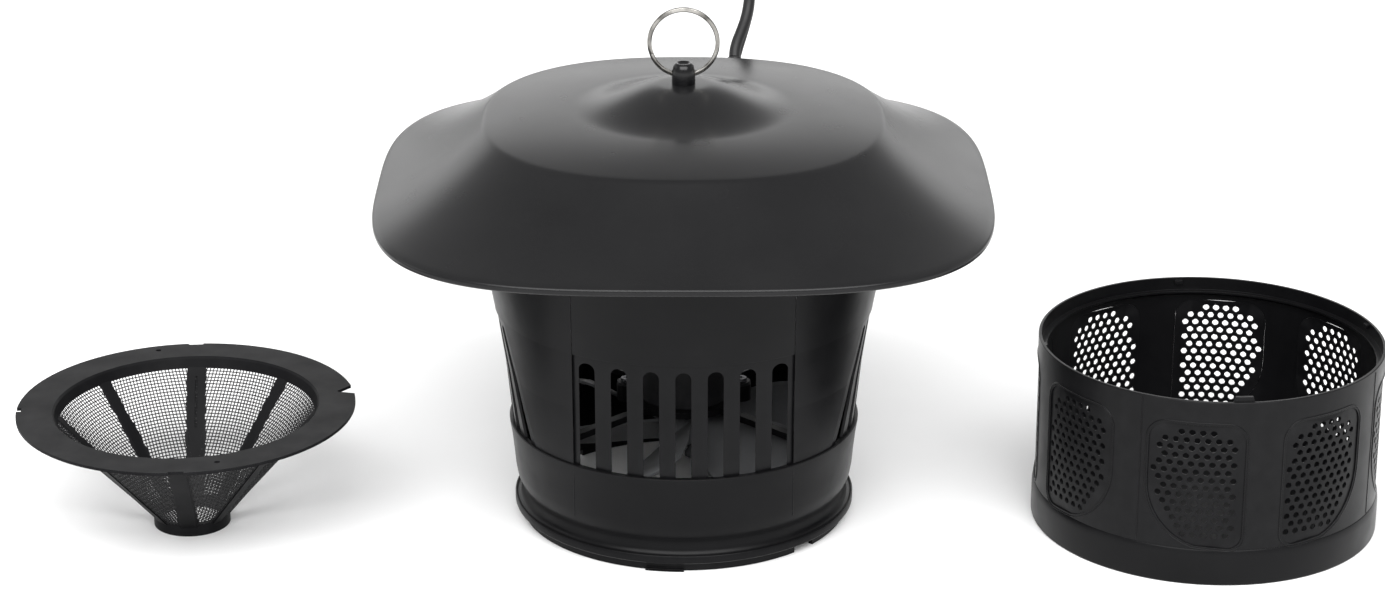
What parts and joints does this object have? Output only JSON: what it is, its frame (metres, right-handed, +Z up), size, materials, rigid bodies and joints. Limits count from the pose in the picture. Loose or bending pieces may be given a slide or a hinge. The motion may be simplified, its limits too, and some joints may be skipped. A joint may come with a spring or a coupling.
{
  "type": "fan insect trap",
  "caption": "Hanging fan-suction insect trap under a broad square-round roof, laid out with its mesh funnel and its perforated catch basket beside it.",
  "frame": {"origin": "centre of the air outlet at the foot of the head, on the surface that the head, the funnel and the basket stand on", "axes": "+Z up along the head's axis, +X towards the basket, -Y towards the front"},
  "size_m": [0.731, 0.387, 0.2813],
  "materials": {
    "roof": "semi-gloss moulded plastic",
    "post": "gloss moulded plastic",
    "nickel": "bright nickel plate",
    "zinc": "zinc-plated steel",
    "housing": "satin moulded plastic",
    "grille": "satin moulded plastic",
    "fan_plastic": "satin moulded plastic",
    "motor": "satin painted steel",
    "shaft_steel": "ground steel",
    "plate": "white painted steel",
    "lamp_base": "white moulded plastic",
    "lamp_glass": "coated glass",
    "board": "glass-fibre board",
    "components": "moulded components",
    "cord": "matt sheath",
    "plug": "moulded rubber",
    "pins": "nickel-plated brass",
    "wires": "insulation",
    "funnel_plastic": "satin moulded plastic",
    "mesh": "woven screen",
    "basket_plastic": "satin moulded plastic",
    "screen": "perforated painted sheet"
  },
  "bodies": {
    "head": {"roof_canopy": "roof", "hanging_post": "post", "post_washer": "zinc", "post_nut": "zinc", "strain_relief": "plug", "inner_lead": "wires", "cord_tube": "cord", "cord_coil": "cord", "cord_tail": "cord", "plug_body": "plug", "plug_pins": "pins", "upper_housing": "housing", "front_grille": "grille", "rear_grille": "grille", "left_grille": "grille", "right_grille": "grille", "roof_screws": "zinc", "lower_housing": "housing", "motor_mount": "housing", "mount_screws": "zinc", "fan_motor": "motor", "motor_screws": "zinc", "motor_lead": "wires", "lamp_plate": "plate", "plate_screws": "zinc", "lamp_holder_left": "lamp_base", "lamp_holder_right": "lamp_base", "uv_lamp_left": "lamp_glass", "uv_lamp_right": "lamp_glass", "driver_board": "board", "board_parts": "components"},
    "fan": {"motor_shaft": "shaft_steel", "fan_rotor": "fan_plastic", "fan_nut": "zinc"},
    "ring": {"hanging_ring": "nickel"},
    "funnel": {"funnel_frame": "funnel_plastic", "funnel_mesh": "mesh"},
    "basket": {"basket_wall": "basket_plastic", "basket_tray": "basket_plastic", "basket_screens": "screen"}
  },
  "joints": [
    {"name": "fan_spin", "type": "hinge", "parent": "head", "child": "fan", "pos_m": [0, 0, 0.045], "axis": [0, 0, 1], "continuous": true},
    {"name": "ring_swing", "type": "hinge", "parent": "head", "child": "ring", "pos_m": [0, 0, 0.2451], "axis": [1, 0, 0], "range_deg": [-100, 100]},
    {"name": "funnel_lift", "type": "slide", "parent": "head", "child": "funnel", "axis": [0, 0, 1], "range_m": [0, 0.1]},
    {"name": "basket_lift", "type": "slide", "parent": "head", "child": "basket", "axis": [0, 0, 1], "range_m": [0, 0.15]}
  ]
}
